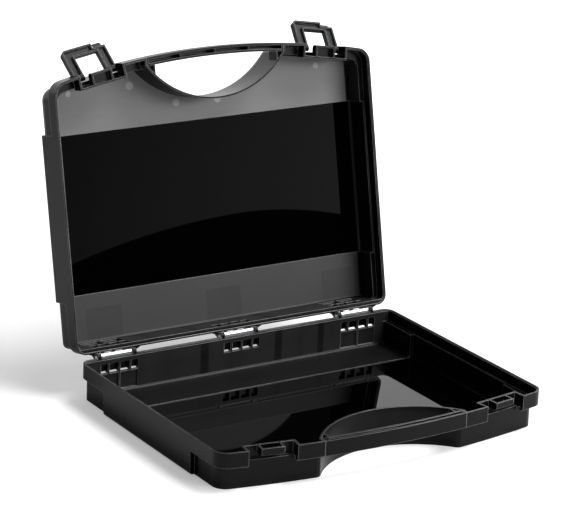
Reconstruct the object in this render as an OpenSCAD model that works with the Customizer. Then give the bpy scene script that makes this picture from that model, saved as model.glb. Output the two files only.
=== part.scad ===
// Hard tool case: two shallow moulded shells hinged along the back on steel
// pins, a split carrying handle in the bowed front, and two snap latches.
// Origin: middle of the underside. X is the width, +Y the back, +Z up.
// The case stands on its base with the lid swung open.

/* [Case] */
// Overall width over the rim bands
case_w = 340; // [300:1:400]
// Depth of the straight sides, without the bow of the front
side_d = 247.7; // [220:0.1:300]
// How far the front bows out in the middle
front_bow = 19.1; // [14:0.1:24]
// Height of one shell from its outer panel to the rim
shell_h = 36; // [34:0.5:60]
// Angle that the lid stands open at its stop
lid_angle = 102; // [90:1:110]
// Gap between the two rims when the case is shut
rim_gap = 0.3; // [0.3:0.05:0.6]

/* [Walls] */
// Height of the rim band
band_h = 14; // [13:0.5:16]
// Wall thickness of the rim band
band_t = 2.5; // [2:0.1:3]
// Outer radius of the back corners of the rim band
band_r_back = 10; // [9:0.5:14]
// Outer radius of the front corners of the rim band
band_r_front = 14; // [10:0.5:16]
// Depth and width of the step inside the rim
rebate = 1; // [0.6:0.1:1.2]
// Wall thickness of the tray under the band
wall = 3; // [2.5:0.1:3.5]
// Thickness of the outer panel towards the front and the back
floor_t = 2.6; // [2.4:0.1:4]
// How much thinner the panel is across the middle belt
belt_dip = 0.8; // [0.4:0.1:0.9]
// How far the tray walls stand back from the band at the sides
side_inset = 4.5; // [3.5:0.1:5.5]
// How far the tray wall stands back from the band at the front
front_inset = 8; // [7.5:0.1:9]
// How far the tray wall stands back from the band at the back
back_inset = 2; // [1:0.1:2.4]
// Corner radius of the tray at the back
tray_r_back = 6; // [5:0.5:8]
// Corner radius of the tray at the front
tray_r_front = 12; // [8:0.5:14]
// Depth of the proud belt across the middle of the sides
belt_d = 154; // [120:1:170]
// Wall thickness at the belt
belt_t = 4.2; // [3.6:0.1:5]
// Rounding of the lower edge along the belt
belt_r = 3; // [2:0.25:4]
// Rounding between the panel and the walls inside
fillet_r = 3; // [2:0.25:5]

/* [Handle] */
// Radius of the hollow that clears the fingers
hollow_r = 93.3; // [88:0.1:98]
// Distance from the bow's crown back to the deepest point of the hollow
hollow_depth = 46.5; // [44:0.1:49]
// Wall round the hollow
hollow_wall = 1.8; // [1.6:0.1:2.4]
// Rounding where the hollow meets the front wall
horn_r = 6; // [5:0.25:7]
// Length of the handle bar, measured across the case
bar_len = 147.5; // [143:0.5:150]
// Distance from the end of the bar to the strut behind it
strut_in = 7; // [5:0.5:12]
// Thickness of that strut
strut_t = 1.3; // [1:0.1:2]
// Thickness of the handle bar from front to back
bar_t = 8; // [7:0.25:9]
// Wall of the hollow handle bar
bar_wall = 2.2; // [1.8:0.1:2.6]
// Thickness of the ribs across the handle bar
rib_t = 1.4; // [1:0.1:2]
// Number of ribs across the hollow half of the bar
rib_count = 3; // [2:1:5]
// Width of the tongue along the solid half of the bar
tongue_w = 2.4; // [2:0.1:3]
// Height of the tongue above the rim
tongue_h = 1.6; // [1:0.1:2.4]

/* [Latches] */
// Distance of each latch from the side of the case
latch_inset = 48.5; // [40:0.5:52]
// Width of the recess that a latch lies in
recess_w = 45; // [43:0.5:47]
// Depth of the recess behind the front of the band
recess_d = 12; // [11.5:0.25:13]
// Wall behind and beside the recess
recess_wall = 1.8; // [1.5:0.1:2.4]
// Width of the catch block in the middle of the recess
block_w = 21.2; // [18:0.2:22]
// Height of the catch block from the rim
block_h = 7; // [6:0.25:8]
// How far the front of the catch block stands back from the band
block_back = 1.3; // [1:0.1:2]
// Rounding of the lower front edge of the catch block
block_r = 3; // [1:0.25:4]
// Wall of the hollow catch block
block_wall = 1.6; // [1.4:0.1:2]
// Distance of the latch pivot from the rim
pivot_up = 13.3; // [12.8:0.1:14]
// Distance of the latch pivot behind the front of the band
pivot_in = 4.8; // [4.4:0.1:5]
// Diameter of the stub axles moulded on the latch
stub_d = 3.6; // [3:0.1:4]
// Length of a stub axle in its socket
stub_l = 1.6; // [1.2:0.1:2]
// Radius of the boss round a socket
boss_r = 2.9; // [2.7:0.1:3.1]
// Radius of the knuckle round the latch pivot
knuckle_r = 2.7; // [2.4:0.1:2.8]
// Length of the latch from its pivot to its free edge
latch_l = 30.3; // [28:0.1:32]
// Length of the latch where its edge steps back beside the tab
step_l = 25.5; // [24.5:0.5:27]
// Distance of that step from the middle of the latch
step_x = 9.5; // [6:0.5:11]
// Rounding of the free corner of the latch
grip_r = 4.5; // [2:0.5:6]
// Thickness of the latch arms and bar
latch_t = 5.6; // [4.8:0.1:5.6]
// Wall left round the pockets in the back of the latch
latch_wall = 1.6; // [1.4:0.1:2]
// Gap between the catch block and the latch arms beside it
arm_gap = 1.4; // [1:0.1:2]
// Distance of the finger tab from the middle of the latch
tab_x = 13; // [12:0.25:14]
// Width of the finger tab
tab_w = 8; // [6:0.5:8.5]
// Distance from the pivot to the tip of the finger tab
tab_l = 31.5; // [30:0.5:33]
// Length of the bent tip of the finger tab
tab_toe = 2.8; // [2:0.1:3.2]
// How far the tip of the tab bends outwards
tab_bend = 2; // [1.6:0.1:3]
// Angle between the shut latch and the latch thrown open
latch_angle = 123.5; // [100:0.5:140]

/* [Hinges] */
// Distance of each outer hinge from the side of the case
hinge_inset = 39; // [34:1:60]
// Diameter of the steel hinge pins
pin_d = 5; // [4.6:0.1:5.2]
// Clear length of pin between the two ears of the lid
pin_gap = 33; // [30:0.5:36]
// Thickness of one ear of the lid
ear_t = 3.5; // [3:0.1:4.5]
// Radius of the ears and clips round the pin
ear_r = 4.5; // [4.3:0.1:4.8]
// Distance of the hinge axis behind the band
axis_out = 3.2; // [3:0.1:3.6]
// Width of one clip of the base
clip_w = 4; // [3:0.5:5]
// Distance between clips, and between the ribs in the pocket before them
clip_pitch = 11.3; // [10.5:0.1:11.5]
// Angle above level at which a clip ends behind the pin
clip_lip = 28; // [15:1:30]
// Width of the pocket in the back wall before a hinge
pocket_w = 38.5; // [36:0.5:40]
// Height of that pocket
pocket_h = 9.5; // [8:0.25:10]
// Skin of the band left behind the pocket
pocket_skin = 1.5; // [1.4:0.1:2]
// Thickness of the ribs in the pocket
pocket_rib = 2; // [1.5:0.1:2.5]
// Height of the slots through the wall at the bottom of the pocket
slot_h = 1.5; // [1:0.1:2]
// Depth of the bays under the pockets of the outer hinges
bay_depth = 1.5; // [1:0.1:1.8]

/* [Fits] */
// Gap round pieces that pass each other
clearance = 0.4; // [0.3:0.05:0.6]
// Radial running fit of pins and stub axles
running_fit = 0.05; // [0.03:0.01:0.08]

/* [Hidden] */
$fn = 96;
big_fn = 360;
cut = 1;
far = 400;
half_w = case_w / 2;
back_y = side_d / 2;
bow_r = (half_w * half_w + front_bow * front_bow) / (2 * front_bow);
bow_y = bow_r - back_y - front_bow;
band_z = shell_h - band_h;
tray_w = half_w - side_inset;
tray_back = back_y - back_inset;
tray_bow = bow_r - front_inset;
ledge_z = band_z + wall;
recess_z = ledge_z - clearance;
pocket_z = band_z - 0.5;
inner_y = tray_back - wall;
hollow_y = -back_y - front_bow + hollow_depth - hollow_r;
axis_y = back_y + axis_out;
axis_z = shell_h + rim_gap / 2;
pin_l = pin_gap + 2 * ear_t;
rim_z = shell_h + rim_gap;
arm_out = recess_w / 2 - clearance;
arm_in = block_w / 2 + arm_gap;
latch_tilt = asin((half_w - latch_inset) / bow_r);
latch_front = block_back + 0.1 - pivot_in;
latch_back = latch_front + latch_t;
grip_top = -pivot_up - rim_gap - block_h - 2 * clearance;
hinge_x = half_w - hinge_inset;
hinge_places = [-hinge_x, 0, hinge_x];
black = [0.04, 0.04, 0.043];
grey_steel = [0.62, 0.63, 0.65];

// Centre of the rounding between a straight side and the bow
function front_corner(hw, bow, r) =
    [hw - r, bow_y - sqrt((bow - r) * (bow - r) - (hw - r) * (hw - r))];

// Centre of the rounding between the bow and the hollow
function horn_centre() =
    let (far_r = tray_bow - horn_r,
         near_r = hollow_r + horn_r,
         gap = bow_y - hollow_y,
         along = (near_r * near_r - far_r * far_r + gap * gap) / (2 * gap))
    [sqrt(near_r * near_r - along * along), hollow_y + along];

// Plan outline with straight back and sides, a bowed front and round corners
module outline(hw, back, bow, r_back, r_front) {
    corner = front_corner(hw, bow, r_front);
    lean = asin(corner.x / (bow - r_front));
    toward = corner + (r_front + 2 * cut) * [sin(lean), -cos(lean)];
    difference() {
        intersection() {
            translate([0, bow_y]) circle(bow, $fn = 4 * big_fn);
            translate([-hw, back - far]) square([2 * hw, far]);
        }
        for (s = [0, 1]) mirror([s, 0]) {
            difference() {
                translate([hw - r_back, back - r_back]) square(r_back + cut);
                translate([hw - r_back, back - r_back]) circle(r_back);
            }
            difference() {
                polygon([corner, [hw + cut, corner.y], [hw + cut, toward.y], toward]);
                translate(corner) circle(r_front);
            }
        }
    }
}

// Rim band outline, moved in by i
module band_plan(i) {
    outline(half_w - i, back_y - i, bow_r - i, band_r_back - i, band_r_front - i);
}

// The finger hollow that the tray goes round, grown by i
module hollow_plan(i) {
    horn = horn_centre();
    down = horn.y - far / 2;
    translate([0, hollow_y]) circle(hollow_r + i, $fn = big_fn);
    for (s = [0, 1]) mirror([s, 0]) difference() {
        polygon([[0, hollow_y], horn, [horn.x, down], [0, down]]);
        translate(horn) circle(horn_r - i);
    }
}

// The opening of the band for the handle bar and the fingers, grown by i
module finger_plan(i) {
    intersection() {
        translate([0, hollow_y]) circle(hollow_r + i, $fn = big_fn);
        square([bar_len + 2 * i, 2 * far], center = true);
    }
}

// Tray outline under the band, moved in by i, with its proud belt
module tray_plan(i, belt_in, hollow_in) {
    difference() {
        union() {
            outline(tray_w - i, tray_back - i, tray_bow - i,
                    tray_r_back - i, tray_r_front - i);
            translate([belt_in - half_w, i - belt_d / 2])
                square([case_w - 2 * belt_in, belt_d - 2 * i]);
        }
        hollow_plan(hollow_in);
    }
}

// Moves to the front of the band at a latch, X along the bow, +Y inwards
module at_latch(side) {
    translate([0, bow_y, 0]) rotate([0, 0, side * latch_tilt])
        translate([0, -bow_r, 0]) children();
}

// Turns a profile drawn as Y and Z into a prism of width w along X
module along_x(w) {
    rotate([90, 0, 90]) linear_extrude(w) children();
}

// Rounding between a wall at X = 0 and a panel at Y = 0, with a foot in both
module fillet(r) {
    difference() {
        translate([-cut, -cut]) square(r + cut);
        translate([r, r]) circle(r + clearance / 4);
    }
}

// Plan of a latch recess, open to the front
module recess_plan() {
    translate([-recess_w / 2, -cut]) square([recess_w, recess_d + cut]);
}

// Walls and floor of a latch recess, with the bosses that the latch turns in
module recess_walls() {
    translate([0, 0, ledge_z - wall / 2]) linear_extrude(shell_h - ledge_z + wall / 2)
        difference() {
            translate([-recess_w / 2 - recess_wall, band_t / 2])
                square([recess_w + 2 * recess_wall, recess_d + recess_wall - band_t / 2]);
            recess_plan();
        }
    translate([-(recess_w + recess_wall) / 2, front_inset + wall / 2, recess_z - wall])
        cube([recess_w + recess_wall, recess_d + recess_wall / 2 - front_inset - wall / 2,
              wall]);
    for (s = [0, 1]) mirror([s, 0, 0])
        translate([recess_w / 2, pivot_in, shell_h - pivot_up])
            along_x(stub_l + clearance + recess_wall / 2) {
                circle(boss_r);
                translate([0, -boss_r / 2])
                    square([front_inset + wall / 2 - pivot_in, boss_r]);
            }
}

// Catch block of a latch, with its lower front edge rounded
module catch_block() {
    translate([-block_w / 2, block_back, shell_h - block_h]) along_x(block_w)
        difference() {
            square([recess_d + recess_wall / 2 - block_back, block_h]);
            fillet(block_r);
        }
}

// Hollow of the catch block and the sockets for the stub axles
module recess_bores() {
    translate([block_wall - block_w / 2, block_back + block_wall,
               shell_h - block_h + block_wall])
        cube([block_w - 2 * block_wall, recess_d - block_back - block_wall, block_h]);
    for (s = [-1, 1]) translate([s * recess_w / 2, pivot_in, shell_h - pivot_up])
        rotate([0, s * 90, 0]) translate([0, 0, -cut])
            cylinder(h = cut + stub_l + clearance, d = stub_d + 2 * running_fit);
}

// Pocket in the back wall before a hinge: ribbed, with slots right through below
module hinge_pocket() {
    translate([-pocket_w / 2, inner_y - cut, pocket_z]) difference() {
        union() {
            cube([pocket_w, back_y - pocket_skin - inner_y + cut, pocket_h]);
            cube([pocket_w, back_y - inner_y + 2 * cut, slot_h]);
        }
        for (k = [-1:1])
            translate([(pocket_w - pocket_rib) / 2 + k * clip_pitch, -cut, -cut])
                cube([pocket_rib, far, pocket_h + 2 * cut]);
    }
}

// Bay in the back wall under the pocket of an outer hinge, with one rib
module hinge_bay() {
    foot_z = floor_t + fillet_r - cut;
    for (s = [0, 1]) mirror([s, 0, 0])
        translate([pocket_rib / 2, inner_y - cut, foot_z])
            cube([(pocket_w - pocket_rib) / 2, bay_depth + cut, pocket_z - cut - foot_z]);
}

// Roundings between the outer panel and the walls inside
module inner_fillets() {
    belt_end = belt_d / 2 - wall;
    intersection() {
        linear_extrude(ledge_z) tray_plan(wall / 2, belt_t / 2, hollow_wall / 2);
        union() {
            for (s = [0, 1]) mirror([s, 0, 0]) {
                for (t = [0, 1]) mirror([0, t, 0])
                    translate([tray_w - wall, half_w, floor_t]) rotate([90, 0, 0])
                        linear_extrude(half_w - belt_end - clearance) mirror([1, 0])
                            fillet(fillet_r);
                translate([half_w - belt_t, belt_end - clearance, floor_t - belt_dip])
                    rotate([90, 0, 0]) linear_extrude(2 * (belt_end - clearance))
                        mirror([1, 0]) fillet(fillet_r);
            }
            translate([-half_w, inner_y, floor_t]) along_x(case_w) mirror([1, 0])
                fillet(fillet_r);
            translate([0, bow_y, floor_t]) rotate_extrude($fn = 4 * big_fn)
                translate([tray_bow - wall, 0]) mirror([1, 0]) fillet(fillet_r);
        }
    }
}

// Struts between the back of the handle bar and the wall of the hollow
module struts() {
    for (s = [0, 1]) mirror([s, 0, 0]) translate([0, 0, band_z]) linear_extrude(band_h)
        intersection() {
            translate([bar_len / 2 - strut_in - strut_t, -far / 2]) square([strut_t, far]);
            translate([0, hollow_y]) circle(hollow_r + hollow_wall / 2, $fn = big_fn);
            translate([0, bow_y]) circle(bow_r - bar_t, $fn = 4 * big_fn);
        }
}

// Everything that is hollow between the walls of one shell
module inner_space() {
    translate([0, 0, floor_t]) linear_extrude(shell_h) tray_plan(wall, belt_t, hollow_wall);
    translate([0, 0, floor_t - belt_dip]) linear_extrude(shell_h) intersection() {
        tray_plan(wall, belt_t, hollow_wall);
        square([case_w, belt_d - 2 * wall], center = true);
    }
    translate([0, 0, ledge_z]) linear_extrude(shell_h) difference() {
        band_plan(band_t);
        finger_plan(hollow_wall);
        translate([-half_w, inner_y]) square([case_w, far]);
    }
    translate([0, 0, shell_h - rebate]) linear_extrude(shell_h) difference() {
        band_plan(band_t - rebate);
        finger_plan(hollow_wall);
    }
}

// One shell as it lies as the base, without its hinge fittings
module shell() {
    difference() {
        union() {
            difference() {
                union() {
                    translate([0, 0, band_z]) linear_extrude(band_h) difference() {
                        band_plan(0);
                        finger_plan(0);
                        for (side = [-1, 1]) at_latch(side) recess_plan();
                    }
                    linear_extrude(ledge_z) tray_plan(0, 0, 0);
                }
                inner_space();
                for (side = [-1, 1]) at_latch(side)
                    translate([0, 0, recess_z]) linear_extrude(shell_h) recess_plan();
            }
            for (side = [-1, 1]) at_latch(side) {
                recess_walls();
                catch_block();
            }
            inner_fillets();
            struts();
        }
        for (side = [-1, 1]) at_latch(side) recess_bores();
        for (x = hinge_places) translate([x, 0, 0]) hinge_pocket();
        for (x = [-hinge_x, hinge_x]) translate([x, 0, 0]) hinge_bay();
        for (s = [0, 1]) mirror([s, 0, 0]) translate([half_w, belt_d / 2 + cut, 0])
            rotate([90, 0, 0]) linear_extrude(belt_d + 2 * cut) mirror([1, 0])
                fillet(belt_r);
    }
}

// Plan of the bar between two depths behind the bow, short of its ends by i
module bar_plan(front, back, i) {
    intersection() {
        translate([0, bow_y]) difference() {
            circle(bow_r - front, $fn = 4 * big_fn);
            circle(bow_r - back, $fn = 4 * big_fn);
        }
        finger_plan(-i);
    }
}

// Half of the split carrying handle as it lies in the base: a ribbed channel
module handle_bar(tongue) {
    rib_top = shell_h - tongue_h - 2 * clearance;
    pitch = bar_len / (rib_count + 1);
    difference() {
        translate([0, 0, band_z]) linear_extrude(band_h) bar_plan(0, bar_t, 0);
        difference() {
            translate([0, 0, band_z + bar_wall]) linear_extrude(band_h)
                bar_plan(bar_wall, bar_t - bar_wall, bar_wall);
            for (k = [1:rib_count])
                translate([k * pitch - bar_len / 2 - rib_t / 2, bow_y - bow_r - cut, 0])
                    cube([rib_t, front_bow, rib_top]);
            if (tongue) translate([-bar_len / 2, bow_y - bow_r - cut, 0])
                cube([bar_len / 2, front_bow, shell_h]);
        }
    }
    if (tongue) intersection() {
        translate([0, 0, shell_h - cut]) linear_extrude(cut + tongue_h)
            bar_plan((bar_t - tongue_w) / 2, (bar_t + tongue_w) / 2, 2 * bar_wall);
        translate([-bar_len / 2, bow_y - bow_r - cut, 0])
            cube([bar_len / 2, front_bow, 2 * shell_h]);
    }
}

// Side view of a latch, shut, with its pivot at the origin
module latch_side() {
    lean = knuckle_r * sin(45);
    circle(knuckle_r);
    polygon([[latch_back, 0], [-lean, lean], [latch_front, -knuckle_r],
             [latch_front, -latch_l], [latch_back, -latch_l]]);
}

// Front view of a latch from its free edge up to the height top, moved in by i:
// two arms, and a grip whose edge steps back beside the finger tab
module latch_face(top, i) {
    difference() {
        translate([i - arm_out, i - latch_l]) square([2 * (arm_out - i), latch_l + top - i]);
        translate([-arm_in - i, grip_top - i]) square([2 * (arm_in + i), far]);
        translate([step_x - i, i - step_l - far]) square(far);
        translate([i - arm_out, i - latch_l]) fillet(grip_r - i);
    }
}

// One latch, shut, with its pivot at the origin
module latch_shut() {
    difference() {
        intersection() {
            translate([-arm_out, 0, 0]) along_x(2 * arm_out) latch_side();
            translate([0, far / 2, 0]) rotate([90, 0, 0]) linear_extrude(far)
                latch_face(knuckle_r + cut, 0);
        }
        translate([0, latch_back + cut, 0]) rotate([90, 0, 0])
            linear_extrude(latch_t + cut - 2 * latch_wall) latch_face(-knuckle_r, latch_wall);
    }
    for (s = [-1, 1]) rotate([0, s * 90, 0]) translate([0, 0, arm_out - cut])
        cylinder(h = cut + clearance + stub_l, d = stub_d);
    translate([tab_x, 0, 0]) along_x(tab_w)
        polygon([[latch_front + latch_wall, cut - step_l], [latch_front, cut - step_l],
                 [latch_front, tab_toe - tab_l],
                 [latch_front - tab_bend, -tab_l],
                 [latch_front - tab_bend + latch_wall, -tab_l],
                 [latch_front + latch_wall, tab_toe - tab_l]]);
}

// A latch in its place on the lid that stands open
module latch(side) {
    color(black) open_lid() at_latch(side)
        translate([0, pivot_in, rim_z + pivot_up]) rotate([-latch_angle, 0, 0])
            latch_shut();
}

// Moves to the hinge axis
module at_axis(x) {
    translate([x, axis_y, axis_z]) children();
}

// Clips of the base that hold one pin from below and behind
module clips() {
    foot = axis_out + band_t / 2;
    for (k = [-1:1]) translate([k * clip_pitch - clip_w / 2, 0, 0])
        along_x(clip_w) difference() {
            union() {
                circle(ear_r);
                translate([-foot, -ear_r]) square([foot, ear_r]);
            }
            circle(pin_d / 2 + running_fit);
            polygon([[-far, -rim_gap], [0, -rim_gap],
                     [far * cos(clip_lip), far * sin(clip_lip)], [-far, far]]);
        }
}

// Room in the back of the base for the ears of the lid to swing through
module ear_room() {
    for (s = [-1, 1])
        translate([s * (pin_gap + ear_t) / 2 - ear_t / 2 - clearance, 0, 0])
            rotate([0, 90, 0])
                cylinder(h = ear_t + 2 * clearance, r = ear_r + clearance);
}

// Ears of the lid at both ends of one pin, with a gusset outside each
module ears() {
    rise = rim_z - axis_z;
    for (s = [0, 1]) mirror([s, 0, 0]) translate([pin_gap / 2, 0, 0]) difference() {
        union() {
            rotate([0, 90, 0]) cylinder(h = ear_t, r = ear_r);
            along_x(ear_t) polygon([[-axis_out - band_t / 2, rise], [0, rise],
                [ear_r * cos(40), ear_r * sin(40)], [-axis_out, 3 * ear_r],
                [-axis_out - band_t / 2, 3 * ear_r]]);
            translate([ear_t, 0, rise]) linear_extrude(ear_r)
                polygon([[-cut / 2, -axis_out - band_t / 2], [2 * ear_t, -axis_out - band_t / 2],
                         [2 * ear_t, -axis_out], [0, 0], [-cut / 2, 0]]);
        }
        translate([-cut, -axis_out - far + clearance, rise - far])
            cube([3 * ear_t + 2 * cut, far, far]);
        translate([-cut, 0, 0]) rotate([0, 90, 0])
            cylinder(h = ear_t + 2 * cut, d = pin_d);
    }
}

// Place of the shut lid: a shell turned over on the rim of the base
module turned_over() {
    translate([0, 0, rim_z + shell_h]) rotate([0, 180, 0]) children();
}

// Swings from the shut place to the open one
module open_lid() {
    translate([0, axis_y, axis_z]) rotate([-lid_angle, 0, 0])
        translate([0, -axis_y, -axis_z]) children();
}

module base_shell() {
    color(black) difference() {
        union() {
            shell();
            for (x = hinge_places) at_axis(x) clips();
        }
        for (x = hinge_places) at_axis(x) ear_room();
    }
}

module base_handle_bar() {
    color(black) handle_bar(true);
}

module lid_shell() {
    color(black) open_lid() {
        turned_over() shell();
        for (x = hinge_places) at_axis(x) ears();
    }
}

module lid_handle_bar() {
    color(black) open_lid() turned_over() handle_bar(false);
}

module hinge_pin(x) {
    color(grey_steel) at_axis(x) rotate([0, 90, 0])
        cylinder(h = pin_l, d = pin_d, center = true);
}

base_shell();
base_handle_bar();
lid_shell();
lid_handle_bar();
latch(-1);  // latch_left
latch(1);  // latch_right
hinge_pin(-hinge_x);  // hinge_pin_left
hinge_pin(0);  // hinge_pin_middle
hinge_pin(hinge_x);  // hinge_pin_right
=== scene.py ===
import bpy
import bmesh
import math
import numpy as np
from mathutils import Matrix, Vector


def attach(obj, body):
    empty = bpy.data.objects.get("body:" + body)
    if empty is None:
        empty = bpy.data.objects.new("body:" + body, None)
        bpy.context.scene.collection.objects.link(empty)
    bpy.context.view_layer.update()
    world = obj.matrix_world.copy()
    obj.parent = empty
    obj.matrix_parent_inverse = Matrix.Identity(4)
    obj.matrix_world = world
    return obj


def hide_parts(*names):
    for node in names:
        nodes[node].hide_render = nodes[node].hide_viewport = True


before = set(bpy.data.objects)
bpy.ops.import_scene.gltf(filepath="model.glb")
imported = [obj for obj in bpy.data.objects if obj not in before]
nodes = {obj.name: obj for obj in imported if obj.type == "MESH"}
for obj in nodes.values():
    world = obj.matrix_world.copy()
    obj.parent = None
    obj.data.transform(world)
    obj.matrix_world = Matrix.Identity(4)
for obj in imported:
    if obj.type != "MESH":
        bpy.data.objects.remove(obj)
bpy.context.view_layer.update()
print("frame loaded:", len(nodes), "nodes")


# shader maths: wraps a node's output, so that + - * on it add Math nodes
class Sock:
    def __init__(self, tree, out):
        self.tree, self.out = tree, out

    def maths(self, operation, other, swap=False, clamp=False):
        node = self.tree.nodes.new("ShaderNodeMath")
        node.operation, node.use_clamp = operation, clamp
        first, second = (other, self) if swap else (self, other)
        plug(node.inputs[0], first)
        plug(node.inputs[1], second)
        return Sock(self.tree, node.outputs[0])

    def __add__(self, other): return self.maths("ADD", other)
    def __radd__(self, other): return self.maths("ADD", other, True)
    def __sub__(self, other): return self.maths("SUBTRACT", other)
    def __rsub__(self, other): return self.maths("SUBTRACT", other, True)
    def __mul__(self, other): return self.maths("MULTIPLY", other)
    def __rmul__(self, other): return self.maths("MULTIPLY", other, True)

    # a ramp from 0 to 1 as the value goes from low to high
    def rise(self, low, high):
        return (self - low).maths("MULTIPLY", 1.0 / (high - low), clamp=True)

    # 1 from low to high, with a ramp of twice the soft width at each end
    def within(self, low, high, soft):
        return self.rise(low - soft, low + soft) * (1.0 - self.rise(high - soft, high + soft))

    # 1 in any of the spans
    def inSpans(self, spans, soft):
        masks = [self.within(low, high, soft) for low, high in spans]
        return sum(masks[1:], masks[0])


# gives a socket its link, its number, or its colour of three numbers
def plug(socket, value):
    if isinstance(value, Sock):
        value.tree.links.new(value.out, socket)
    else:
        socket.default_value = (*value, 1.0) if socket.type == "RGBA" else value


# the node tree of a material or a world
class Shader:
    def __init__(self, owner):
        owner.use_nodes = True
        self.owner, self.tree = owner, owner.node_tree
        self.tree.nodes.clear()

    # any node: its type, its settings first, then the values or links of its sockets,
    # which go by name with _ for a space, or by number as s0, s1
    def node(self, kind, settings=None, out=0, **sockets):
        node = self.tree.nodes.new("ShaderNode" + kind)
        for key, value in (settings or {}).items():
            setattr(node, key, value)
        for key, value in sockets.items():
            numbered = key[1:].isdigit()
            plug(node.inputs[int(key[1:]) if numbered else key.replace("_", " ")], value)
        return Sock(self.tree, node.outputs[out])

    def place(self):
        return self.node("TexCoord", out="Object")

    # place in the shell's own frame: its panel down, its rim up
    def own(self):
        return self.node("Attribute", {"attribute_name": "own"}, out="Vector")

    def axes(self, place):
        split = self.node("SeparateXYZ", Vector=place).out.node
        return [Sock(self.tree, socket) for socket in split.outputs]

    def noise(self, place, scale, detail=2.0, roughness=0.5):
        return self.node("TexNoise", out="Fac", Vector=place, Scale=scale, Detail=detail,
                         Roughness=roughness)

    def mixColor(self, share, low, high, blend="MIX"):
        return self.node("Mix", {"data_type": "RGBA", "blend_type": blend}, out=2,
                         s0=share, s6=low, s7=high)

    def mixGrey(self, share, low, high):
        return self.mixColor(share, (low, low, low), (high, high, high))

    def grey(self, level):
        return self.node("CombineColor", Red=level, Green=level, Blue=level)

    def bump(self, height, strength, distance, **normal):
        return self.node("Bump", Height=height, Strength=strength, Distance=distance, **normal)

    # 1 along convex and concave edges, where the rounded normal leaves the true one
    def edges(self, rounded, low, high):
        true = self.node("NewGeometry", out="Normal")
        alike = self.node("VectorMath", {"operation": "DOT_PRODUCT"}, out="Value",
                          s0=rounded, s1=true)
        return (1.0 - alike).rise(low, high)

    def principled(self, **sockets):
        return self.node("BsdfPrincipled", **sockets)

    def finish(self, surface, end="OutputMaterial"):
        node = self.tree.nodes.new("ShaderNode" + end)
        self.tree.links.new(surface.out, node.inputs["Surface"])
        return self.owner


def newMaterial(name):
    return Shader(bpy.data.materials.new(name))


# sizes of the case that the looks follow, in metres
case = {
    "shellHeight": 0.036,               # from a panel's outer face to the rim
    "lidRim": 0.0363,                   # height of the lid's rim when it is shut
    "axisY": 0.12705, "axisZ": 0.03615,     # hinge axis
    "lidAngle": math.radians(102),      # from open, as stored, to shut
    "bandFloor": 0.0026,                # inner face of a panel's rough bands
}

# black moulded plastic: tones, grain, dust, edges painted pale as a highlight, and gloss
plastic = {
    "black": (0.0016, 0.0016, 0.0017),
    "dust": (0.009, 0.009, 0.0094),
    "edgeGlint": (0.33, 0.33, 0.34),
    "fineShare": 0.7, "speckShare": 0.3,            # of the grain's height
    "dustFrom": 0.45, "dustCloud": 0.22,
    "speckFrom": 0.62, "speckFull": 0.75, "speckRough": 0.08,
    "edgeRadius": 0.0008, "edgeSamples": 6, "edgeFrom": 0.015, "edgeFull": 0.14,
    "glintLeast": 0.45, "glintFrom": 0.35, "glintFull": 0.65,
    "gleam": 0.15, "refraction": 1.45,
}

# grain of the two shells and of the small mouldings: noise scales per metre, depth in metres
shellGrain = {"cloud": 16.0, "fine": 1600.0, "speck": 420.0, "dustFull": 0.8,
              "dustSpecks": 0.1, "roughCloud": 0.14, "depth": 0.00003}
smallGrain = {"cloud": 14.0, "fine": 1900.0, "speck": 420.0, "dustFull": 0.75,
              "dustSpecks": 0.12, "roughCloud": 0.12, "depth": 0.00005}


# what every moulding shares: dusty black, cloudy roughness, the grain's height, edges painted
# pale as a highlight
class Moulding(Shader):
    def __init__(self, name, grain, roughness, own=False):
        super().__init__(bpy.data.materials.new(name))
        self.grain = grain
        self.spot = self.own() if own else self.place()
        self.cloud = self.noise(self.spot, grain["cloud"], 4.0, 0.6)
        fine = self.noise(self.spot, grain["fine"], 3.0, 0.6)
        speck = self.noise(self.spot, grain["speck"])
        self.height = fine * plastic["fineShare"] + speck * plastic["speckShare"]
        dust = (self.cloud.rise(plastic["dustFrom"], grain["dustFull"]) * plastic["dustCloud"]
                + speck.rise(plastic["speckFrom"], plastic["speckFull"]) * grain["dustSpecks"])
        self.color = self.mixColor(dust, plastic["black"], plastic["dust"])
        self.rough = (roughness + (self.cloud - 0.5) * grain["roughCloud"]
                      + (speck - 0.5) * plastic["speckRough"])

    def satin(self, color, rough, height, strength):
        rounded = self.node("Bevel", {"samples": plastic["edgeSamples"]},
                            Radius=plastic["edgeRadius"])
        # painted highlight: convex and concave edges are painted pale grey, patchy with the
        # cloud, as a bright line along each edge
        glintPatches = self.cloud.rise(plastic["glintFrom"], plastic["glintFull"])
        edgeGlint = (self.edges(rounded, plastic["edgeFrom"], plastic["edgeFull"])
                * (plastic["glintLeast"] + glintPatches * (1.0 - plastic["glintLeast"])))
        return self.principled(
            Base_Color=self.mixColor(edgeGlint, color, plastic["edgeGlint"]), Roughness=rough,
            Normal=self.bump(height, strength, self.grain["depth"], Normal=rounded),
            IOR=plastic["refraction"], Specular_IOR_Level=plastic["gleam"])


# what shows on a shell, all in its own frame, with low and high ends in metres:
# satin walls, the panel's inner face, and across its middle a polished belt
satinWalls = {"rough": 0.3, "grain": 0.5}
panel = {"heights": (0.0012, 0.0030), "soft": 0.0001}
belt = {"ends": (-0.074, 0.074), "soft": 0.0002, "tone": (0.0003, 0.0003, 0.0003),
        "rough": 0.012, "roughCloud": 0.006, "gleam": 0.34}

# rough bands before and behind the belt; their tone is made uneven by these shares
bandShade = {"turn": 0.002, "least": 0.82, "cloud": 0.2, "streak": 0.14, "plate": 0.16}
streaks = {"across": 9.0, "along": 40.0, "scale": 5.0}
# tones of the rough bands: the base's are near black; the lid's are painted sheen, its front band
# far paler than its back band
baseBands = {"front": 0.006, "back": 0.006, "rough": 0.32}
lidBandsPaintedSheen = {"front": 0.185, "back": 0.052, "rough": 0.5}
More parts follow.
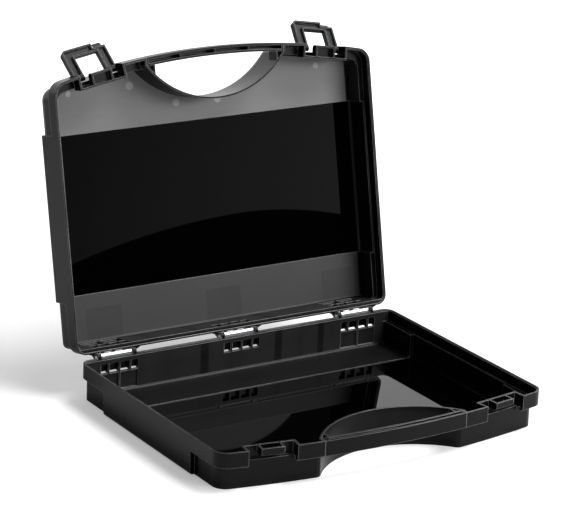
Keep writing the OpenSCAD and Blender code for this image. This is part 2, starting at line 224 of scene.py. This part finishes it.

# faint sunk plates on the back band; the back wall painted paler as sheen, and on it darker,
# slightly sunk strips
plates = {"spans": [(-0.153, -0.118), (-0.026, 0.012), (0.103, 0.141)],
          "depth": (0.088, 0.121), "soft": 0.0003, "sunk": 2.0}
backWall = {"starts": (0.11825, 0.11865), "ends": (0.1205, 0.1212),
            "tone": (0.019, 0.019, 0.0194), "least": 0.5, "streak": 0.6}
strips = {"spans": [(-0.0448, -0.0361), (0.0367, 0.0446), (0.0852, 0.0921)],
          "soft": 0.0006, "dark": 0.7, "sunk": 1.5}


# black plastic of a shell: satin walls, a polished belt and two rough bands on the panel; the
# lid's bands and the back wall carry painted sheen
def shellPlastic(name, bands):
    m = Moulding(name, shellGrain, satinWalls["rough"], own=True)
    x, y, z = m.axes(m.spot)
    flow = m.node("CombineXYZ", X=x * streaks["across"], Y=y * streaks["along"], Z=z)
    streak = m.noise(flow, streaks["scale"], 3.0, 0.6)
    inPanel = z.within(*panel["heights"], panel["soft"])
    inBelt = y.within(*belt["ends"], belt["soft"]) * inPanel
    inBand = inPanel - inBelt
    onWall = y.rise(*backWall["starts"]) * (1.0 - y.rise(*backWall["ends"]))
    inStrip = x.inSpans(strips["spans"], strips["soft"]) * onWall
    inPlate = (x.inSpans(plates["spans"], plates["soft"])
               * y.within(*plates["depth"], plates["soft"]) * inBand)
    # painted sheen: the back wall's inner face is painted paler, unevenly along the streaks
    wallSheen = onWall * (backWall["least"] + streak * backWall["streak"])
    color = m.mixColor(wallSheen, m.color, backWall["tone"])
    color = m.mixColor(inStrip * strips["dark"], color, belt["tone"])
    # painted sheen: front is 1 on the band before the belt, which on the lid takes the paler tone
    front = 1.0 - y.rise(-bandShade["turn"], bandShade["turn"])
    shade = (bandShade["least"] + m.cloud * bandShade["cloud"] + streak * bandShade["streak"]
             - inPlate * bandShade["plate"])
    bandToneAndSheen = m.mixGrey(front, bands["back"], bands["front"])
    color = m.mixColor(inBand, color, m.mixColor(1.0, bandToneAndSheen, m.grey(shade), "MULTIPLY"))
    rough = m.rough + inBand * (bands["rough"] - satinWalls["rough"])
    height = m.height - inPlate * plates["sunk"] - inStrip * strips["sunk"]
    satinSide = m.satin(color, rough, height, satinWalls["grain"])
    mirrorSide = m.principled(Base_Color=belt["tone"], IOR=plastic["refraction"],
                              Roughness=belt["rough"] + m.cloud * belt["roughCloud"],
                              Specular_IOR_Level=belt["gleam"])
    return m.finish(m.node("MixShader", s0=inBelt, s1=satinSide, s2=mirrorSide))


latch = {"rough": 0.32, "grain": 0.35}
handle = {"rough": 0.38, "grain": 0.5, "gripFrom": 0.045, "gripFull": 0.047,
          "stipple": 620.0, "stippleHeight": 2.5}


# plastic of the small mouldings; a handle bar also has a stippled grip on its right
def plainPlastic(name, piece):
    m = Moulding(name, smallGrain, piece["rough"])
    height = m.height
    if "stipple" in piece:
        stipple = m.node("TexVoronoi", {"feature": "F1"}, Vector=m.spot, Scale=piece["stipple"])
        grip = m.axes(m.spot)[0].rise(piece["gripFrom"], piece["gripFull"])
        height = height + stipple * piece["stippleHeight"] * grip
    return m.finish(m.satin(m.color, m.rough, height, piece["grain"]))


steel = {"dark": (0.55, 0.56, 0.58), "light": (0.72, 0.73, 0.75), "along": 3.0,
         "around": 400.0, "scale": 6.0, "rough": 0.28, "roughMore": 0.12,
         "grain": 0.3, "depth": 0.00003}


# drawn steel: noise that is stretched along the pin
def pinSteel():
    m = newMaterial("pin_steel")
    x, y, z = m.axes(m.place())
    stretched = m.node("CombineXYZ", X=x * steel["along"], Y=y * steel["around"],
                       Z=z * steel["around"])
    drawn = m.noise(stretched, steel["scale"], 3.0, 0.6)
    return m.finish(m.principled(
        Base_Color=m.mixColor(drawn, steel["dark"], steel["light"]), Metallic=1.0,
        Roughness=steel["rough"] + drawn * steel["roughMore"],
        Normal=m.bump(drawn, steel["grain"], steel["depth"])))


baseLook = shellPlastic("base_plastic", baseBands)
lidLook = shellPlastic("lid_plastic", lidBandsPaintedSheen)
latchLook = plainPlastic("latch_black", latch)
handleLook = plainPlastic("handle_black", handle)
pinLook = pinSteel()
print("materials done")


def addItem(name, data):
    item = bpy.data.objects.new(name, data)
    bpy.context.scene.collection.objects.link(item)
    return item


# a field of all vertices, faces, edges or loops as one array
def readField(elements, field, width=1, kind=float):
    values = np.empty(len(elements) * width, dtype=kind)
    elements.foreach_get(field, values)
    return values.reshape(-1, width) if width > 1 else values


# turns y and z about the hinge axis: a positive angle shuts the lid, a negative one opens it
def swing(y, z, angle):
    c, s = math.cos(angle), math.sin(angle)
    dy, dz = y - case["axisY"], z - case["axisZ"]
    return case["axisY"] + dy * c - dz * s, case["axisZ"] + dy * s + dz * c


# faces of a grid of points: each joins a point and the next one to the same two of the next row
def gridFaces(rows, columns):
    first = (np.arange(rows - 1)[:, None] * columns + np.arange(columns - 1)).ravel()
    return np.stack([first, first + 1, first + columns + 1, first + columns], axis=1)


# angles in degrees; faces count as one plane when normal and offset round to the same steps
creases = {"anywhere": 24, "besidePanel": 4, "panelArea": 0.0003,
           "normalSteps": 400, "offsetSteps": 20000, "panelWeight": 80, "mergeWithin": 0.00002}


# marks the edges that stay crisp: those that turn by more than the angle for anywhere, and
# those beside a wide flat panel by more than the small one, so that the roundings don't bend
# the panel's shading. All faces are triangles, so a loop's face is its number over 3.
def markSharp(mesh):
    normals = readField(mesh.polygons, "normal", 3)
    middles = readField(mesh.polygons, "center", 3)
    areas = readField(mesh.polygons, "area")
    offset = (normals * middles).sum(axis=1)
    plane = np.column_stack([np.round(normals * creases["normalSteps"]),
                             np.round(offset * creases["offsetSteps"])]).astype(int)
    group = np.unique(plane, axis=0, return_inverse=True)[1].ravel()
    wide = np.bincount(group, weights=areas)[group] > creases["panelArea"]
    loopEdge = readField(mesh.loops, "edge_index", kind=np.int32)
    order = np.argsort(loopEdge, kind="stable")
    edges, faces = loopEdge[order], order // 3
    pair = np.flatnonzero(edges[1:] == edges[:-1])
    one, two = faces[pair], faces[pair + 1]
    turn = np.degrees(np.arccos(np.clip((normals[one] * normals[two]).sum(axis=1), -1, 1)))
    besidePanel = (turn > creases["besidePanel"]) & (wide[one] | wide[two])
    sharp = np.ones(len(mesh.edges), dtype=bool)
    sharp[edges[pair]] = (turn > creases["anywhere"]) | besidePanel
    mesh.attributes.new("sharp_edge", "BOOLEAN", "EDGE").data.foreach_set("value", sharp)


# a merged copy of a CAD node with smooth curves and crisp edges, which stands for the node
def smoothCopy(node, body, material, lidFrame=False):
    mesh = nodes[node].data.copy()
    mesh.name = node + "_smooth"
    work = bmesh.new()
    work.from_mesh(mesh)
    bmesh.ops.remove_doubles(work, verts=work.verts, dist=creases["mergeWithin"])
    work.to_mesh(mesh)
    work.free()
    mesh.materials.clear()
    mesh.materials.append(material)
    mesh.shade_smooth()
    markSharp(mesh)
    points = readField(mesh.vertices, "co", 3)
    if lidFrame:    # swung shut about the hinge axis, then turned over on the rim
        y, z = swing(points[:, 1], points[:, 2], case["lidAngle"])
        points = np.stack([-points[:, 0], y, case["lidRim"] + case["shellHeight"] - z], axis=1)
    own = mesh.attributes.new("own", "FLOAT_VECTOR", "POINT")
    own.data.foreach_set("vector", points.ravel())
    item = addItem(node + "_smooth", mesh)
    even = item.modifiers.new("even", "WEIGHTED_NORMAL")
    even.keep_sharp, even.weight = True, creases["panelWeight"]
    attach(item, body)
    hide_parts(node)


smoothCopy("base_shell", "base", baseLook)
smoothCopy("lid_shell", "lid", lidLook, True)
smoothCopy("base_handle_bar", "base", handleLook)
smoothCopy("lid_handle_bar", "lid", handleLook)
smoothCopy("latch_left", "left_latch", latchLook)
smoothCopy("latch_right", "right_latch", latchLook)
for side in ("left", "middle", "right"):
    smoothCopy("hinge_pin_" + side, "lid", pinLook)

# round ejector marks on the front band of the lid, painted pale grey as sheen: x, y and radius in
# the shut case's plan, and a profile of shares of the radius with heights over the band
marks = {"places": [(-0.140, -0.112, 0.0030), (-0.076, -0.113, 0.0040), (-0.028, -0.0925, 0.0038),
                    (0.017, -0.0916, 0.0038), (0.129, -0.112, 0.0030)],
         "profile": [(0.0, 0.00009), (0.80, 0.00009), (0.86, 0.00015), (0.95, 0.00015),
                     (1.0, -0.0003)],
         "turns": 48, "dark": 0.2295, "light": 0.297, "cloud": 300.0, "fine": 1600.0,
         "rough": 0.45, "roughFine": 0.1, "grain": 0.4, "depth": 0.00003,
         "mergeWithin": 0.00001}


# painted sheen: black plastic coloured pale grey, cloudy
def markPaintedSheen():
    m = newMaterial("mark_painted_sheen")
    place = m.place()
    cloud = m.noise(place, marks["cloud"], 3.0, 0.6)
    fine = m.noise(place, marks["fine"], 3.0, 0.6)
    return m.finish(m.principled(Base_Color=m.mixGrey(cloud, marks["dark"], marks["light"]),
                                 Roughness=marks["rough"] + (fine - 0.5) * marks["roughFine"],
                                 Normal=m.bump(fine, marks["grain"], marks["depth"])))


# each mark is its profile turned about its middle on the shut lid's band, then swung open;
# all marks are one array: mark, turn, place along the profile
def ejectorMarks():
    px, py, radius = np.array(marks["places"]).T[:, :, None, None]
    share, height = np.array(marks["profile"]).T
    turn = np.linspace(0, 2 * math.pi, marks["turns"] + 1)[:, None]
    x = px + radius * share * np.cos(turn)
    y = py + radius * share * np.sin(turn)
    z = case["lidRim"] + case["shellHeight"] - case["bandFloor"] - height + 0 * x
    points = np.stack([x, *swing(y, z, -case["lidAngle"])], axis=3)
    count, rows, columns = x.shape
    faces = gridFaces(rows, columns) + np.arange(count)[:, None, None] * rows * columns
    mesh = bpy.data.meshes.new("lid_ejector_marks")
    mesh.from_pydata(points.reshape(-1, 3).tolist(), [], faces.reshape(-1, 4).tolist())
    work = bmesh.new()
    work.from_mesh(mesh)
    bmesh.ops.remove_doubles(work, verts=work.verts, dist=marks["mergeWithin"])
    bmesh.ops.recalc_face_normals(work, faces=work.faces)
    work.to_mesh(mesh)
    work.free()
    mesh.materials.append(markPaintedSheen())
    item = addItem("lid_ejector_marks", mesh)
    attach(item, "lid")


ejectorMarks()
print("pieces done")

# place, target, roll and lens solved from the photograph's edges
camera = {"place": (-1.2437, -1.8747, 0.8796), "target": (-0.03661, 0.0, 0.152846),
          "roll": math.radians(2.275), "lens": 170.13, "sensor": 36.0, "clip": (0.05, 50.0)}


def makeCamera():
    data = bpy.data.cameras.new("camera")
    data.lens, data.sensor_width = camera["lens"], camera["sensor"]
    data.clip_start, data.clip_end = camera["clip"]
    item = addItem("camera", data)
    ahead = (Vector(camera["target"]) - Vector(camera["place"])).normalized()
    right = ahead.cross(Vector((0, 0, 1))).normalized()
    up = right.cross(ahead)
    c, s = math.cos(camera["roll"]), math.sin(camera["roll"])
    turn = Matrix((c * right + s * up, c * up - s * right, -ahead)).transposed().to_4x4()
    item.matrix_world = Matrix.Translation(camera["place"]) @ turn
    bpy.context.scene.camera = item


makeCamera()
print("camera done")


# a piece of the studio from a grid of points
def stageGrid(name, points, material):
    mesh = bpy.data.meshes.new(name)
    faces = gridFaces(*points.shape[:2])
    mesh.from_pydata(points.reshape(-1, 3).tolist(), [], faces.tolist())
    mesh.materials.append(material)
    item = addItem(name, mesh)
    return item


floor = {"half": 6.0, "dark": 0.79, "light": 0.81, "grain": 30.0, "rough": 0.9,
         "lift": 0.3, "farLift": 0.9, "near": 0.55, "far": 1.6}


# white table top; what the camera sees is lifted, more with the distance from the case,
# so that the shadow stays and the table ends in white
def floorWhite():
    m = newMaterial("floor_white")
    seen = m.node("LightPath", out="Is Camera Ray")
    grain = m.noise(m.place(), floor["grain"])
    away = m.node("VectorMath", {"operation": "LENGTH"}, out="Value", s0=m.place())
    far = away.rise(floor["near"], floor["far"])
    lift = (floor["lift"] + far * (floor["farLift"] - floor["lift"])) * seen
    return m.finish(m.principled(Base_Color=m.mixGrey(grain, floor["dark"], floor["light"]),
                                 Roughness=floor["rough"], Emission_Color=m.grey(lift),
                                 Emission_Strength=1.0))


ends = np.array([-floor["half"], floor["half"]])
across, along = np.meshgrid(ends, ends)
stageGrid("floor", np.stack([across, along, 0 * across], axis=2), floorWhite())

# two cards out in front on the right, which the polished lid mirrors: a grey one, and before
# it a dark one whose top edge is a low curve. The middle is the dark card's; side is the
# direction along both cards, and s counts along it from the middle.
cards = {"middle": (0.66884, -0.99474), "side": (0.85749, 0.5145), "reach": 0.55, "steps": 61}
darkCard = {"low": 0.001, "crest": 0.217, "crestAt": 0.030, "leftDrop": 0.030,
            "leftRun": 0.240, "rightDrop": 0.024, "rightRun": 0.145, "mostDrop": 0.08,
            "dark": 0.003, "light": 0.006, "grain": 40.0, "rough": 0.95, "gleam": 0.1}
greyCard = {"low": 0.05, "top": 0.50, "back": 0.06, "level": 0.2, "more": 0.24, "run": 0.2,
            "fade": 0.06, "fadeFrom": 0.2, "fadeTo": 0.36, "tone": (0.02, 0.02, 0.02),
            "rough": 0.9}


# its glow grows along the card and fades a little towards its top
def cardGrey():
    m = newMaterial("card_grey")
    x, y, z = m.axes(m.place())
    (mx, my), (sx, sy) = cards["middle"], cards["side"]
    s = (x - mx) * sx + (y - my) * sy
    level = (greyCard["level"] + s.rise(-greyCard["run"], greyCard["run"]) * greyCard["more"]
             - z.rise(greyCard["fadeFrom"], greyCard["fadeTo"]) * greyCard["fade"])
    return m.finish(m.principled(Base_Color=greyCard["tone"], Roughness=greyCard["rough"],
                                 Emission_Color=m.grey(level), Emission_Strength=1.0))


def cardDark():
    m = newMaterial("card_dark")
    grain = m.noise(m.place(), darkCard["grain"])
    return m.finish(m.principled(Base_Color=m.mixGrey(grain, darkCard["dark"], darkCard["light"]),
                                 Roughness=darkCard["rough"],
                                 Specular_IOR_Level=darkCard["gleam"]))


# height of the dark card's top: it falls with the square of the distance from the crest
def darkTop(s):
    away = s - darkCard["crestAt"]
    drop = np.where(away < 0, darkCard["leftDrop"] * (away / darkCard["leftRun"]) ** 2,
                    darkCard["rightDrop"] * (away / darkCard["rightRun"]) ** 2)
    return darkCard["crest"] - np.minimum(drop, darkCard["mostDrop"])


def greyTop(s):
    return 0 * s + greyCard["top"]


# an upright strip between a level lower edge and the given top, a step back from the middle
def card(name, back, low, top, material):
    s = np.linspace(-cards["reach"], cards["reach"], cards["steps"])
    (mx, my), (sx, sy) = cards["middle"], cards["side"]
    x, y = mx + s * sx + back * sy, my + s * sy - back * sx
    lower = np.stack([x, y, 0 * s + low], axis=1)
    upper = np.stack([x, y, top(s)], axis=1)
    stageGrid(name, np.stack([lower, upper]), material).visible_camera = False


card("card_dark", 0.0, darkCard["low"], darkTop, cardDark())
card("card_grey", greyCard["back"], greyCard["low"], greyTop, cardGrey())

backdrop = {"x": (-2.0, 5.0), "columns": 8, "y": 3.2, "z": (0.02, 3.5), "rows": 5,
            "tone": (0.8, 0.8, 0.8), "rough": 0.9, "dark": 0.97, "light": 1.0, "grain": 3.0}


# white backdrop far behind, which the polished floor of the base mirrors
def backdropWhite():
    m = newMaterial("backdrop_white")
    grain = m.noise(m.place(), backdrop["grain"])
    return m.finish(m.principled(Base_Color=backdrop["tone"], Roughness=backdrop["rough"],
                                 Emission_Color=m.mixGrey(grain, backdrop["dark"],
                                                          backdrop["light"]),
                                 Emission_Strength=1.0))


backX, backZ = np.meshgrid(np.linspace(*backdrop["x"], backdrop["columns"]),
                           np.linspace(*backdrop["z"], backdrop["rows"]))
backGrid = np.stack([backX, 0 * backX + backdrop["y"], backZ], axis=2)
stageGrid("backdrop", backGrid, backdropWhite()).visible_camera = False

# the round light's edge shows in the polished floor of the base, by way of the polished lid
lights = [
    {"name": "round", "place": (0.780, -0.803, 1.029), "target": (0, 0.08, 0.1),
     "size": (0.305, 0.305), "power": 1.0, "shape": "DISK"},
    {"name": "front", "place": (0.80, -1.25, 0.78), "target": (0, 0.1, 0.2),
     "size": (1.3, 0.36), "power": 18.5, "shape": "RECTANGLE"},
    {"name": "top", "place": (0.85, -0.32, 1.85), "target": (0, 0, 0),
     "size": (1.2, 0.9), "power": 46.0, "shape": "RECTANGLE"},
]


def areaLight(name, place, target, size, power, shape):
    data = bpy.data.lights.new(name, "AREA")
    data.shape, data.energy = shape, power
    data.size, data.size_y = size
    item = addItem(name, data)
    item.location = place
    item.rotation_mode = "QUATERNION"
    item.rotation_quaternion = (Vector(target) - Vector(place)).to_track_quat("-Z", "Y")


for light in lights:
    areaLight(**light)

surround = {"tone": (1.0, 1.0, 1.0), "light": 0.22, "seen": 1.0}


# white to the camera, and a plain soft light on everything else
def makeWorld():
    m = Shader(bpy.data.worlds.new("studio"))
    light = m.node("Background", Color=surround["tone"], Strength=surround["light"])
    seen = m.node("Background", Color=surround["tone"], Strength=surround["seen"])
    cameraRay = m.node("LightPath", out="Is Camera Ray")
    mixed = m.node("MixShader", s0=cameraRay, s1=light, s2=seen)
    bpy.context.scene.world = m.finish(mixed, "OutputWorld")


makeWorld()
bpy.context.scene.view_settings.view_transform = "Standard"
print("studio done")
